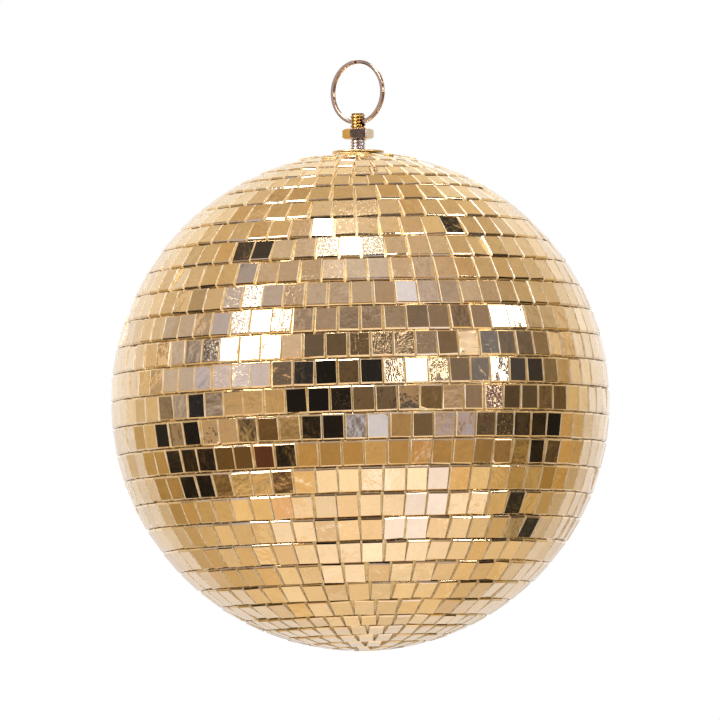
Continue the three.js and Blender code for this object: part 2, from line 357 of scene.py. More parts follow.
def nickel_material(name, grain_scale, warm):
    """Bright nickel plate over drawn or turned steel, with draw lines and tiny pits."""
    n, coords = material(name, {"Metallic": 1.0, "Coat Weight": 0.15, "Coat Roughness": 0.05})
    lines = n.noise(n.scaled(coords, grain_scale), 1, 3)
    pits = n.noise(coords, 2600, 2)
    stain = n.noise(coords, 170, 4)
    colour = n.mix(n.between(stain, 0.45, 0.75, 0, 0.5), warm, (0.55, 0.40, 0.30, 1))
    relief = n.bump(lines, 0.12, 0.02 * MM, n.bump(pits, 0.1, 0.02 * MM))
    return n.surface(colour, n.plus(0.06, n.between(lines, 0.3, 0.75, 0, 0.12)), relief)


def passivated_material(name, grain_scale):
    """Plated steel with a passivated film. The attribute 'film' holds the film, from silver through gold
    to violet, and how deep in a groove the place is, which sets a painted shade deep in the grooves."""
    n, coords = material(name, {"Metallic": 1.0, "Coat Weight": 0.2, "Coat Roughness": 0.06})
    stored = n.add("ShaderNodeAttribute", attribute_name="film").outputs["Color"]
    film, groove, _ = n.channels(stored)
    cloud = n.noise(coords, 260, 4)
    lines = n.noise(n.scaled(coords, grain_scale), 1, 3)
    place = n.plus(film, n.between(cloud, 0.25, 0.75, -0.12, 0.12))
    plate = n.ramp(place, [
        (0.10, (0.88, 0.86, 0.94)), (0.35, (0.86, 0.72, 0.60)), (0.52, (0.86, 0.58, 0.16)),
        (0.70, (0.74, 0.42, 0.12)), (0.90, (0.74, 0.64, 0.68)),
    ])
    # Painted shade: the deeper in a thread groove, the nearer the colour goes to black, for the shade there;
    # the same mask also makes the place rougher
    painted_groove_shade = n.between(groove, 0.30, 0.95, 0, 0.62)
    roughness = n.plus(0.08, n.between(lines, 0.3, 0.75, 0, 0.22))
    roughness = n.plus(roughness, n.times(painted_groove_shade, 0.3))
    return n.surface(n.mix(painted_groove_shade, plate, (0.10, 0.07, 0.04, 1)), roughness, n.bump(lines, 0.35, 0.03 * MM))


def gilt_material():
    """Gold-lacquered pressed metal with turning rings and rubbed spots."""
    n, coords = material("gilt_lacquer", {
        "Metallic": 1.0, "Coat Weight": 0.5, "Coat Roughness": 0.12,
    })
    rub = n.noise(coords, 240, 4)
    rings = n.noise(n.scaled(coords, (300, 300, 4000)), 1, 2)
    colour = n.ramp(rub, [
        (0.35, (0.74, 0.54, 0.24)), (0.55, (0.92, 0.74, 0.42)), (0.75, (0.97, 0.88, 0.66)),
    ])
    return n.surface(colour, n.between(rub, 0.35, 0.7, 0.42, 0.22), n.bump(rings, 0.2, 0.04 * MM))


def plastic_material():
    """Unpainted moulded plastic, faintly mottled, with a fine matt skin."""
    n, coords = material("white_moulding", {"Metallic": 0.0, "IOR": 1.46})
    cloud = n.noise(coords, 40, 4)
    skin = n.noise(coords, 1100, 3)
    colour = n.ramp(cloud, [(0.3, (0.80, 0.78, 0.72)), (0.7, (0.90, 0.89, 0.85))])
    return n.surface(colour, n.between(skin, 0.3, 0.7, 0.45, 0.65), n.bump(skin, 0.25, 0.05 * MM))


def zinc_material():
    """Zinc-plated steel with its spangle and faint iridescent staining."""
    n, coords = material("zinc_plate", {"Metallic": 1.0})
    spangle = n.add("ShaderNodeTexVoronoi", {"Vector": coords, "Scale": 700.0}).outputs["Color"]
    grey = n.channels(spangle)[0]
    colour = n.ramp(grey, [
        (0.0, (0.56, 0.57, 0.58)), (0.6, (0.68, 0.68, 0.67)), (1.0, (0.76, 0.73, 0.66)),
    ])
    return n.surface(colour, n.between(grey, 0, 1, 0.25, 0.42), n.bump(grey, 0.1, 0.03 * MM))


def floor_material():
    """Pale matt studio floor with a faint paper grain."""
    n, coords = material("pale_floor", {"Metallic": 0.0, "IOR": 1.3})
    grain = n.noise(coords, 30, 4)
    colour = n.ramp(grain, [(0.3, (0.88, 0.87, 0.85)), (0.7, (0.92, 0.91, 0.90))])
    return n.surface(colour, n.between(grain, 0.3, 0.7, 0.7, 0.85))


MIRROR = mirror_material()
CUT_EDGE = cut_edge_material()
SNAPPED_EDGE = snapped_edge_material()
BACKING = backing_material()
CORE_PAINT = core_material()
RING_NICKEL = nickel_material("ring_nickel", (900, 900, 900), (0.67, 0.48, 0.34, 1))
STUD_PLATE = passivated_material("stud_plate", (400, 400, 5000))
NUT_PLATE = passivated_material("nut_plate", (2600, 2600, 900))
GILT = gilt_material()
PLASTIC = plastic_material()
ZINC = zinc_material()


# ---------------- mirror strips

BACKING_DEPTH, BACKING_THICKNESS = 1.34 * MM, 0.75 * MM
BACKING_OVERLAP = 0.2 * MM
LONG_ARRIS, SHORT_ARRIS, ARRIS_DROP = 0.72 * MM, 0.22 * MM, 0.44 * MM
ARRIS_LEVELS = ((1, 0), (0.1, 0.9), (0, 1.15))
GLASS = 1.30 * MM
LARGE_TILE, SMALL_TILE = (8.2 * MM, 10.34 * MM), (6.05 * MM, 8.1 * MM)

# How far tiles stray from their facets: lengths, then shares of the tiles or of their sizes, then degrees
OUT_OF_SQUARE, ASIDE = 0.045 * MM, 0.18 * MM
CHIPPED_SHARE, CHIP_SIZE = 0.05, (0.4, 1.1)
WIDTH_SPREAD, HEIGHT_SPREAD = 0.022, 0.006
TURN_SPREAD, LEAN_SPREAD, ODD_LEAN_SPREAD, EVEN_SHARE = 0.7, 1.15, 2.6, 0.85
SIDE_CLEARANCE, END_OVERHANG = 0.18 * MM, 0.15 * MM
SINK, SINK_BY_LEAN = (0.05, 0.12), 0.8


WELD_DISTANCE, FLAT_WITHIN = 0.002 * MM, math.radians(0.4)
FACES_OUT = 0.97


class Facet:
    """One flat facet of a strip: its middle, its outward normal, its directions and its size."""

    def __init__(self, face):
        self.normal = face.normal.copy()
        corners = [v.co.copy() for v in face.verts]
        corners.sort(key=lambda p: p.z)
        lower, upper = corners[:2], corners[2:]
        low_mid, high_mid = sum(lower, Vector()) / 2, sum(upper, Vector()) / 2
        self.centre = (low_mid + high_mid) / 2
        self.up = (high_mid - low_mid).normalized()
        self.right = self.up.cross(self.normal).normalized()
        self.height = (high_mid - low_mid).length
        self.narrow = min((lower[0] - lower[1]).length, (upper[0] - upper[1]).length)


def whole_faces(node):
    """A node's mesh with its triangles joined back into flat faces."""
    bm = bmesh.new()
    bm.from_mesh(frame["nodes"][node].data)
    bmesh.ops.remove_doubles(bm, verts=bm.verts, dist=WELD_DISTANCE)
    bmesh.ops.dissolve_limit(bm, angle_limit=FLAT_WITHIN, verts=bm.verts, edges=bm.edges)
    return bm


def outer_faces(bm):
    """A strip's facets that carry tiles: those that face straight out from the ball's centre."""
    chosen = []
    for face in bm.faces:
        out = face.calc_center_median() - BALL_CENTRE
        if out.length > FACE_RADIUS - 0.5 * MM and face.normal.dot(out.normalized()) > FACES_OUT:
            chosen.append(face)
    return chosen


def strip_facets(node):
    """A strip's facets, in order round the ball."""
    bm = whole_faces(node)
    facets = [Facet(face) for face in outer_faces(bm) if len(face.verts) == 4]
    bm.free()
    facets.sort(key=lambda f: math.atan2(f.centre.y, f.centre.x))
    return facets


def backing_band(node):
    """The ring of backing under a strip's tiles, faceted as the strip is and a little wider than it."""
    bm = whole_faces(node)
    faces = outer_faces(bm)
    across = {}
    for face in faces:
        facet = Facet(face)
        for vertex in face.verts:
            side = (vertex.co - facet.centre).dot(facet.up)
            across[vertex] = facet.up * math.copysign(BACKING_OVERLAP, side)
    places = {vertex: k for k, vertex in enumerate(across)}
    points = []
    for depth in (BACKING_DEPTH, BACKING_DEPTH + BACKING_THICKNESS):
        for vertex, wider in across.items():
            inward = (BALL_CENTRE - vertex.co).normalized()
            points.append(vertex.co + wider + inward * depth)
    count = len(places)
    sides = []
    used = set()
    for face in faces:
        ring = [places[v] for v in face.verts]
        sides += [tuple(ring), tuple(k + count for k in reversed(ring))]
        used |= {(ring[k - 1], ring[k]) for k in range(len(ring))}
    sides += sorted((b, a, a + count, b + count) for a, b in used if (b, a) not in used)
    mesh = mesh_from(node + "_backing", points, sides)
    bm.free()
    band = new_object(node + "_backing", mesh, BACKING)
    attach(band, "ball")
    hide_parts(node)


def tile_outline(width, height):
    """Corners of a cut tile in its own plane, slightly out of square; now and then a corner is chipped."""
    def wobble():
        return rng.gauss(0, OUT_OF_SQUARE)

    x, y = width / 2, height / 2
    corners = [(-x, -y), (x, -y), (x, y), (-x, y)]
    corners = [(cx + wobble(), cy + wobble()) for cx, cy in corners]
    if rng.random() < CHIPPED_SHARE:
        chip = rng.uniform(*CHIP_SIZE) * MM
        k = rng.randrange(4)
        here, before, after = corners[k], corners[k - 1], corners[(k + 1) % 4]
        cut = []
        for other in (before, after):
            length = math.dist(here, other)
            share = chip * rng.uniform(0.6, 1.2) / length
            cut.append((here[0] + (other[0] - here[0]) * share, here[1] + (other[1] - here[1]) * share))
        corners[k:k + 1] = cut
    return corners


def is_long(start, end):
    """Whether an edge of the outline is one of the tile's long cut sides, along its row."""
    return abs(end[0] - start[0]) > abs(end[1] - start[1])


def inset(corners, share):
    """The outline drawn in by a share of the arris, which is wider along the long sides."""
    lines = []
    for start, end in zip(corners, corners[1:] + corners[:1]):
        length = math.dist(start, end)
        normal = ((start[1] - end[1]) / length, (end[0] - start[0]) / length)
        drawn = share * (LONG_ARRIS if is_long(start, end) else SHORT_ARRIS)
        lines.append((*normal, start[0] * normal[0] + start[1] * normal[1] + drawn))
    result = []
    for k in range(len(corners)):
        (a, b, c), (d, e, f) = lines[k - 1], lines[k]
        whole = a * e - b * d
        result.append(((c * e - b * f) / whole, (a * f - c * d) / whole))
    return result


class TileMesh:
    """Collects one strip's tiles into one mesh with three finishes: mirror, cut side and snapped side."""

    def __init__(self):
        self.points, self.faces, self.finish, self.looks = [], [], [], []

    def add(self, corners, to_world, look):
        """One tile with its face at height 0 and its arrises ground off all round."""
        count = len(corners)
        start = len(self.points)
        rings = [(inset(corners, share), -drop * ARRIS_DROP) for share, drop in ARRIS_LEVELS]
        rings.append((corners, -GLASS))
        for outline, height in rings:
            self.points += [to_world @ Vector((x, y, height)) for x, y in outline]
        self.put(tuple(range(start, start + count)), 0, look)
        for level in range(len(rings) - 1):
            for k in range(count):
                j = (k + 1) % count
                long_side = is_long(corners[k], corners[j])
                arris = level < len(ARRIS_LEVELS) - 1
                finish = 2 if not long_side else 0 if arris else 1
                a, b = start + level * count + k, start + level * count + j
                self.put((a, a + count, b + count, b), finish, look)
        last = start + (len(rings) - 1) * count
        self.put(tuple(reversed(range(last, last + count))), 1, look)

    def put(self, face, finish, look):
        self.faces.append(face)
        self.finish.append(finish)
        self.looks.append(look)

    def build(self, name):
        mesh = mesh_from(name, self.points, self.faces)
        obj = new_object(name, mesh, MIRROR, CUT_EDGE, SNAPPED_EDGE)
        mesh.polygons.foreach_set("material_index", self.finish)
        smooth_by_angle(mesh, 28)
        layer = mesh.color_attributes.new("tile", "FLOAT_COLOR", "CORNER")
        flat_area = 15 * MM * MM
        for polygon, look in zip(mesh.polygons, self.looks):
            if polygon.area > flat_area:
                polygon.use_smooth = False
            for loop in polygon.loop_indices:
                layer.data[loop].color = look
        return obj


# Where tiles are crazed and where they are dusty: a direction from the ball's centre, how far round it
# reaches in degrees, and how many of the tiles there are touched
CRAZED = (
    ((0.58, -0.78, 0.23), 12, 0.4), ((0.78, -0.56, 0.28), 12, 0.3), ((-0.55, 0.60, 0.55), 20, 0.4),
    ((0.20, 0.95, -0.1), 16, 0.4), ((-0.9, -0.3, 0.1), 16, 0.4),
)
DUSTY = (
    ((0.14, -0.96, 0.24), 12, 0.8), ((0.35, -0.71, 0.61), 16, 0.8), ((0.70, -0.68, 0.15), 12, 0.5),
    ((-0.5, 0.5, 0.7), 30, 0.7), ((0.6, 0.6, 0.5), 25, 0.6), ((-0.9, -0.1, 0.3), 25, 0.7),
)


def touched(out, places):
    """Whether a tile that faces out is one of those touched near any of the places."""
    hits = [rng.random() < amount for _, reach, amount in places]
    near = [out.angle(Vector(direction)) < math.radians(reach) for direction, reach, _ in places]
    return any(hit and close for hit, close in zip(hits, near))


def tile_look(out):
    """Tone, wear, tint and dust of the tile that faces out."""
    wear = rng.uniform(0.5, 0.95) if touched(out, CRAZED) or rng.random() < 0.03 else rng.random() * 0.45
    dust = rng.uniform(0.4, 1.0) if touched(out, DUSTY) or rng.random() < 0.05 else rng.random() * 0.2
    return (rng.random(), wear, rng.random(), dust)


def lay_tiles(node, size):
    """One tile on each facet of a strip, sunk as far as its lean lifts its corners."""
    tiles = TileMesh()
    for facet in strip_facets(node):
        width = min(size[0] * (1 + rng.gauss(0, WIDTH_SPREAD)), facet.narrow - SIDE_CLEARANCE)
        height = min(size[1] * (1 + rng.gauss(0, HEIGHT_SPREAD)), facet.height + END_OVERHANG)
        spare = max(0.0, facet.narrow - width) / 2
        shift = max(-spare, min(spare, rng.gauss(0, ASIDE)))
        turn = Matrix.Rotation(math.radians(rng.gauss(0, TURN_SPREAD)), 4, "Z")
        lean = LEAN_SPREAD if rng.random() < EVEN_SHARE else ODD_LEAN_SPREAD
        lean_x, lean_y = (math.radians(rng.gauss(0, lean)) for _ in range(2))
        tilt = Matrix.Rotation(lean_x, 4, "X") @ Matrix.Rotation(lean_y, 4, "Y")
        axes = Matrix((facet.right, facet.up, facet.normal)).transposed().to_4x4()
        lifted = (height * abs(lean_x) + width * abs(lean_y)) / 2
        sink = rng.uniform(*SINK) * MM + SINK_BY_LEAN * lifted
        place = Matrix.Translation(facet.centre + facet.right * shift - facet.normal * sink)
        to_world = place @ axes @ tilt @ turn
        tiles.add(tile_outline(width, height), to_world, tile_look(facet.normal))
    piece = tiles.build(node + "_tiles")
    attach(piece, "ball")
    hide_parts(node)


for strip in sorted(node for node in frame["nodes"] if "_strip_" in node):
    backing_band(strip)
    lay_tiles(strip, LARGE_TILE if strip.startswith("mirror") else SMALL_TILE)


def bottom_cap():
    """The tile that closes the rows at the bottom pole."""
    bm = whole_faces("bottom_cap_tile")
    face = min(bm.faces, key=lambda f: f.normal.z)
    normal, centre = face.normal.copy(), face.calc_center_median()
    first = (face.verts[0].co - centre).normalized()
    axes = Matrix((first, normal.cross(first), normal)).transposed().to_4x4()
    to_world = Matrix.Translation(centre - normal * 0.1 * MM) @ axes
    corners = [tuple((to_world.inverted() @ v.co).xy * 0.96) for v in face.verts]
    bm.free()
    if sum(a[0] * b[1] - b[0] * a[1] for a, b in zip(corners, corners[1:] + corners[:1])) < 0:
        corners.reverse()
    tiles = TileMesh()
    tiles.add(corners, to_world, tile_look(normal))
    piece = tiles.build("bottom_cap_tile_glass")
    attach(piece, "ball")
    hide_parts("bottom_cap_tile")


bottom_cap()


# ---------------- core

CORE_WALL = 2.2 * MM
STUD_BORE = 3.475 * MM
FINE_TURN = 96


def half_shell(name, node, upper):
    """One half of the core as a smooth shell, flat at the seam. The upper half has the stud's bore."""
    low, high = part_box(node)
    outer = (high.x - low.x) / 2
    inner = outer - CORE_WALL
    seam = (low.z if upper else high.z) - BALL_CENTRE.z
    arcs = []
    for radius in (outer, inner):
        start = math.degrees(math.asin(abs(seam) / radius))
        end = math.degrees(math.acos(STUD_BORE / radius)) if upper else 90
        arcs.append(arc((0, 0), radius, start, end, 24))
    if upper:
        outline = arcs[0] + list(reversed(arcs[1]))
        mesh = turned(name, outline, FINE_TURN, BALL_CENTRE, closed=True)
    else:
        outside = [(r, -z) for r, z in reversed(arcs[0])]
        inside = [(r, -z) for r, z in arcs[1]]
        outside[0], inside[-1] = (0, -outer), (0, -inner)
        mesh = turned(name, outside + inside, FINE_TURN, BALL_CENTRE)
    smooth_by_angle(mesh, 40)
    shell = new_object(name, mesh, CORE_PAINT)
    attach(shell, "ball")
    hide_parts(node)


half_shell("upper_core_shell_skin", "upper_core_shell", True)
half_shell("lower_core_shell_skin", "lower_core_shell", False)


# ---------------- hardware

THREAD_PITCH, THREAD_DEPTH = 1.27 * MM, 0.68 * MM
CREST, FLANK = 0.16, 0.68
THREAD_CHAMFER = 0.75 * MM
STUD_RADIUS = 3.16 * MM
CROSS_HOLE_RADIUS, HOLE_FLARE = 1.7 * MM, 0.35 * MM
SILVER_FILM, GOLD_FILM = 0.14, 0.47
GILDED_ABOVE_FLANGE = 6 * MM
HOLE_AXIS = next(Vector(j["pos_m"]) for j in frame["joints"] if j["name"] == "ring_swing")


def thread_radius(height, angle, low, high):
    """Radius of the thread at a height and angle, with its ends chamfered."""
    turn = (height / THREAD_PITCH - angle / TAU) % 1.0
    from_crest = abs(turn - 0.5) * 2
    blend = min(1.0, max(0.0, (from_crest - CREST) / FLANK))
    radius = STUD_RADIUS - THREAD_DEPTH * blend
    chamfer = STUD_RADIUS - THREAD_CHAMFER + min(height - low, high - height)
    return min(radius, chamfer)


def threaded_stud():
    """The stud with its helical thread and the flared cross hole drilled through it."""
    low, high = (corner.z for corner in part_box("threaded_stud"))
    around, rows_per_turn = 72, 12
    rows = round((high - low) / THREAD_PITCH * rows_per_turn)
    points = []
    for i in range(rows + 1):
        height = low + (high - low) * i / rows
        for k in range(around):
            angle = TAU * k / around
            radius = thread_radius(height, angle, low, high)
            points.append(spun(radius, angle, height))
    faces = grid_faces(rows + 1, around)
    faces.append(tuple(reversed(range(around))))
    faces.append(tuple(range(rows * around, (rows + 1) * around)))
    stud = new_object("threaded_stud_cut", mesh_from("threaded_stud_cut", points, faces))
    reach = (STUD_RADIUS + HOLE_FLARE) * 1.5
    flared = CROSS_HOLE_RADIUS + 2.2 * HOLE_FLARE
    flare_from = STUD_RADIUS - 1.2 * HOLE_FLARE
    outline = [(0, -reach), (flared, -reach), (CROSS_HOLE_RADIUS, -flare_from),
               (CROSS_HOLE_RADIUS, flare_from), (flared, reach), (0, reach)]
    drill_mesh = turned("drill", outline, 48, Vector())
    drill_mesh.transform(Matrix.Translation(HOLE_AXIS) @ Matrix.Rotation(math.pi / 2, 4, "Y"))
    drill = new_object("drill", drill_mesh)
    cut = stud.modifiers.new("cross_hole", "BOOLEAN")
    cut.operation, cut.solver, cut.object = "DIFFERENCE", "EXACT", drill
    evaluated = stud.evaluated_get(bpy.context.evaluated_depsgraph_get())
    mesh = bpy.data.meshes.new_from_object(evaluated)
    stud.modifiers.clear()
    stud.data = mesh
    bpy.data.objects.remove(drill)
    smooth_by_angle(mesh, 38)
    mesh.materials.clear()
    mesh.materials.append(STUD_PLATE)

    def look(place):
        film = GOLD_FILM if place.z > FLANGE_TOP + GILDED_ABOVE_FLANGE else SILVER_FILM
        groove = (STUD_RADIUS - math.hypot(place.x, place.y)) / THREAD_DEPTH
        return film, min(1.0, max(0.0, groove))

    paint_film(mesh, look)
    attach(stud, "ball")
    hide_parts("threaded_stud")


def paint_film(mesh, look_at):
    """Stores the plating's film and groove depth on each face, from the place of its middle."""
    layer = mesh.color_attributes.new("film", "FLOAT_COLOR", "CORNER")
    for polygon in mesh.polygons:
        film, groove = look_at(polygon.center)
        for loop in polygon.loop_indices:
            layer.data[loop].color = (film, groove, 0, 1)


def hex_nut(name, node, body, mat, flats_from_deg, films=None):
    """A hexagon nut: chamfered corners, a countersunk bore and a washer face each side. films has the
    film on each of its six flats, for a material that reads it."""
    low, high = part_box(node)
    thickness = high.z - low.z
    half_flats, bore = 5.54 * MM, 3.3 * MM
    face = half_flats * 0.96
    sink, rim, lift, corner_cut = 0.45 * MM, 0.10 * MM, 0.02 * MM, 0.06 * MM
    slope = math.tan(math.radians(30))
    around = 180

    def profile(angle):
        """Radius and height of each ring of points at an angle, from the bore's foot out to its top."""
        local = (angle - math.radians(flats_from_deg) + math.pi / 6) % (math.pi / 3) - math.pi / 6
        side = min(half_flats / math.cos(local), half_flats / math.cos(math.pi / 6) - corner_cut)
        drop = (side - face) * slope + lift
        return [(bore, sink), (bore + sink, 0), (face, 0), (side, drop), (side, drop + rim),
                (side, thickness - drop - rim), (side, thickness - drop), (face, thickness),
                (bore + sink, thickness), (bore, thickness - sink)]

    rings = list(zip(*(profile(TAU * k / around) for k in range(around))))
    points = [spun(radius, TAU * k / around, low.z + height)
              for ring in rings for k, (radius, height) in enumerate(ring)]
    mesh = mesh_from(name, points, grid_faces(len(rings), around, close_rows=True))
    smooth_by_angle(mesh, 22)

    def look(place):
        angle = math.degrees(math.atan2(place.y, place.x))
        return films[int((angle - flats_from_deg + 30) // 60) % 6], 0.0

    if films:
        paint_film(mesh, look)
    nut = new_object(name, mesh, mat)
    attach(nut, body)
    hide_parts(node)


def top_flange():
    """A thin pressed disc with a rolled edge on its hub, as one piece."""
    low, high = flange_low.z, flange_high.z
    radius = (flange_high.x - flange_low.x) / 2 - 0.01 * MM
    hub, disc, fillet = 7 * MM, 0.8 * MM, 0.4 * MM
    roll = disc / 2
    base, under = low - BALL_CENTRE.z, high - disc - BALL_CENTRE.z
    top = high - BALL_CENTRE.z
    outline = [(STUD_BORE + fillet, base), (hub - fillet, base)]
    outline += arc((hub - fillet, base + fillet), fillet, -90, 0, 4)
    outline += arc((hub + fillet, under - fillet), fillet, 180, 90, 4)
    outline += arc((radius - roll, top - roll), roll, -90, 90, 10)
    outline += arc((STUD_BORE + fillet, top - fillet), fillet, 90, 180, 4)
    outline += [(STUD_BORE, base + fillet)]
    mesh = turned("top_flange_disc", outline, FINE_TURN, BALL_CENTRE, closed=True)
    smooth_by_angle(mesh, 35)
    flange = new_object("top_flange_disc", mesh, GILT)
    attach(flange, "ball")
    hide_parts("top_flange")


WIRE_WIDTH, WIRE_THICKNESS = 1.5 * MM, 0.72 * MM
COIL_PITCH = 0.80 * MM
JOG_START_DEG, JOG_END_DEG = 38, 95


def split_ring():
    """Two flat coils of rounded wire, which crosses from one to the other between the jog angles. It
    narrows a little over the last steps to each of its cut ends."""
    low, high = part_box("split_ring")
    outer = (high.x - low.x) / 2
    mean = outer - WIRE_WIDTH / 2
    centre = Vector((0, 0, high.z - outer))
    crossing = JOG_END_DEG - JOG_START_DEG
    start, end = JOG_END_DEG, JOG_END_DEG + 720 - crossing
    steps, end_steps, end_width = 420, 3, 0.80
    corner = 0.24 * MM
    section = []
    for sx, sy, first in ((1, 1, 0), (-1, 1, 90), (-1, -1, 180), (1, -1, 270)):
        middle = (sx * (WIRE_WIDTH / 2 - corner), sy * (WIRE_THICKNESS / 2 - corner))
        section += arc(middle, corner, first, first + 90, 5)
    points = []
    for i in range(steps + 1):
        degrees = start + (end - start) * i / steps
        share = min(1.0, max(0.0, (degrees - JOG_START_DEG - 360) / crossing))
        aside = COIL_PITCH * (share * share * (3 - 2 * share) - 0.5)
        angle = math.radians(degrees)
        out = Vector((math.cos(angle), 0, math.sin(angle)))
        from_end = min(1.0, min(i, steps - i) / end_steps)
        taper = end_width + (1 - end_width) * from_end
        for across, along in section:
            points.append(centre + out * (mean + across * taper) + Vector((0, aside + along * taper, 0)))
    count = len(section)
    faces = grid_faces(steps + 1, count)
    faces.append(tuple(range(count)))
    faces.append(tuple(reversed(range(steps * count, (steps + 1) * count))))
    mesh = mesh_from("split_ring_wire", points, faces)
    face_outwards(mesh)
    smooth_by_angle(mesh, 35)
    ring = new_object("split_ring_wire", mesh, RING_NICKEL)
    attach(ring, "hanger")
    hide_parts("split_ring")


def glue_material():
    """Dried gold-tinted glue: glossy, cloudy and lumpy."""
    n, coords = material("gold_glue", {
        "Metallic": 0.35, "IOR": 1.5, "Coat Weight": 0.7, "Coat Roughness": 0.12,
    })
    cloud = n.noise(coords, 420, 4, 0.6)
    colour = n.ramp(cloud, [
        (0.32, (0.52, 0.34, 0.10)), (0.52, (0.86, 0.62, 0.24)), (0.70, (0.98, 0.88, 0.60)),
    ])
    return n.surface(colour, n.between(cloud, 0.3, 0.7, 0.35, 0.16), n.bump(cloud, 0.7, 0.25 * MM))


def swept(path, radius_at, sides=10):
    """Points and faces of a round tube along a path, closed at both ends."""
    points = []
    for i, place in enumerate(path):
        ahead = path[min(i + 1, len(path) - 1)] - path[max(i - 1, 0)]
        out = (place - BALL_CENTRE).normalized()
        across = ahead.cross(out).normalized()
        radius = radius_at(i / (len(path) - 1))
        for k in range(sides):
            angle = TAU * k / sides
            points.append(place + (across * math.cos(angle) + out * math.sin(angle)) * radius)
    faces = grid_faces(len(path), sides)
    faces.append(tuple(range(sides)))
    faces.append(tuple(reversed(range((len(path) - 1) * sides, len(path) * sides))))
    return points, faces


GLUE_FROM_DEG, GLUE_TO_DEG = 6.4, 15
GLUE_STEP = 0.0042
COLLAR_RADIUS, COLLAR_HEIGHT = 10.0, 98.55


def glue_threads():
    """Curls of glue over the tiles round the flange, and a lumpy collar of it between them and the hub."""
    points, faces = [], []

    def add(new_points, new_faces):
        base = len(points)
        points.extend(new_points)
        faces.extend(tuple(index + base for index in face) for face in new_faces)

    threads = 15
    for thread in range(threads):
        polar = math.radians(rng.uniform(6.8, 11.5))
        turn = TAU * thread / threads + rng.uniform(-0.3, 0.3)
        heading, curl = rng.uniform(0, TAU), rng.uniform(-0.16, 0.16)
        path = []
        for _ in range(rng.randrange(26, 60)):
            out = spun(math.sin(polar), turn, math.cos(polar))
            path.append(BALL_CENTRE + out * (FACE_RADIUS + 0.05 * MM))
            polar = max(math.radians(GLUE_FROM_DEG), polar + GLUE_STEP * math.cos(heading))
            polar = min(math.radians(GLUE_TO_DEG), polar)
            turn += GLUE_STEP * math.sin(heading) / math.sin(polar)
            heading += curl + rng.gauss(0, 0.12)
        thick = rng.uniform(0.16, 0.30) * MM
        wave = rng.uniform(0, TAU)

        def thickness(share):
            tapered = 0.25 + math.sin(math.pi * min(1, max(0, share)))**0.4
            return thick * tapered * (1 + 0.22 * math.sin(9 * share + wave))

        add(*swept(path, thickness))

    around, levels = 120, 10
    collar = []
    lumps = [(rng.uniform(2, 17), rng.uniform(0, TAU), rng.uniform(0.04, 0.14) * MM) for _ in range(9)]
    for level in range(levels):
        share = level / levels
        for k in range(around):
            angle = TAU * k / around
            lump = sum(size * math.sin(round(count) * angle + phase) for count, phase, size in lumps)
            radius = (COLLAR_RADIUS + 2.8 * math.cos(TAU * share)) * MM + lump * 0.3
            height = (COLLAR_HEIGHT + 0.75 * math.sin(TAU * share)) * MM + lump * (0.5 if share < 0.5 else 0)
            collar.append(BALL_CENTRE + spun(radius, angle, height))
    add(collar, grid_faces(levels, around, close_rows=True))
    mesh = mesh_from("flange_glue", points, faces)
    face_outwards(mesh)
    smooth_by_angle(mesh, 60)
    glue = new_object("flange_glue", mesh, glue_material())
    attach(glue, "ball")
    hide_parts("top_flange")


threaded_stud()
glue_threads()
hex_nut("jam_nut_hex", "jam_nut", "lock_nut", NUT_PLATE, 6,
        (0.1, 0.3, 0.6, 0.2, 0.62, 0.95))
hex_nut("inner_nut_hex", "inner_nut", "ball", ZINC, 0)
top_flange()
split_ring()

# The inner pieces stay as the frame has them, each with its own finish
for node, finish in (("core_joining_ring", PLASTIC), ("backing_plate", ZINC), ("flat_washer", ZINC),
                     ("spring_washer", ZINC)):
    for material_slot in frame["nodes"][node].material_slots:
        material_slot.material = finish


# ---------------- camera

def view_frame(azimuth, elevation):
    """Unit vectors to the right, up and back towards the camera."""
    back = Vector((math.sin(azimuth) * math.cos(elevation), -math.cos(azimuth) * math.cos(elevation),
                   math.sin(elevation)))
    right = Vector((math.cos(azimuth), math.sin(azimuth), 0))
    return right, back.cross(right), back


RIGHT, UP, BACK = view_frame(CAMERA_AZIMUTH, CAMERA_ELEVATION)
LEVEL_BACK = Vector((BACK.x, BACK.y, 0)).normalized()


def add_camera():
    data = bpy.data.cameras.new("camera")
    data.lens = CAMERA_LENS
    data.clip_end = 50
    camera = new_object("camera", data)
    camera.location = BALL_CENTRE + BACK * CAMERA_DISTANCE
    aim = BALL_CENTRE + UP * AIM_ABOVE_CENTRE
    camera.rotation_mode = "QUATERNION"
    look = (aim - camera.location).to_track_quat("-Z", "Y")
    camera.rotation_quaternion = look @ Quaternion((0, 0, 1), CAMERA_ROLL)
    bpy.context.scene.camera = camera


add_camera()


# ---------------- studio

def studio_direction(azimuth_deg, elevation_deg):
    """Direction from the ball, by angles to the right of the camera and above the horizon."""
    azimuth, elevation = math.radians(azimuth_deg), math.radians(elevation_deg)
    flat = LEVEL_BACK * math.cos(azimuth) + RIGHT * math.sin(azimuth)
    return flat * math.cos(elevation) + Vector((0, 0, 1)) * math.sin(elevation)


def softbox(name, azimuth_deg, elevation_deg, width_deg, height_deg, radiance, distance=2.2,
            colour=(1.0, 0.96, 0.94)):
    """A softbox that fills the given angles seen from the ball, with an even radiance."""
    direction = studio_direction(azimuth_deg, elevation_deg)
    data = bpy.data.lights.new(name, "AREA")
    data.shape = "RECTANGLE"
    data.size = 2 * distance * math.tan(math.radians(width_deg / 2))
    data.size_y = 2 * distance * math.tan(math.radians(height_deg / 2))
    data.energy = radiance * math.pi * data.size * data.size_y
    data.color = colour
    light = new_object(name, data)
    light.location = BALL_CENTRE + direction * distance
    light.rotation_mode = "QUATERNION"
    light.rotation_quaternion = direction.to_track_quat("Z", "Y")
    light.visible_camera = False


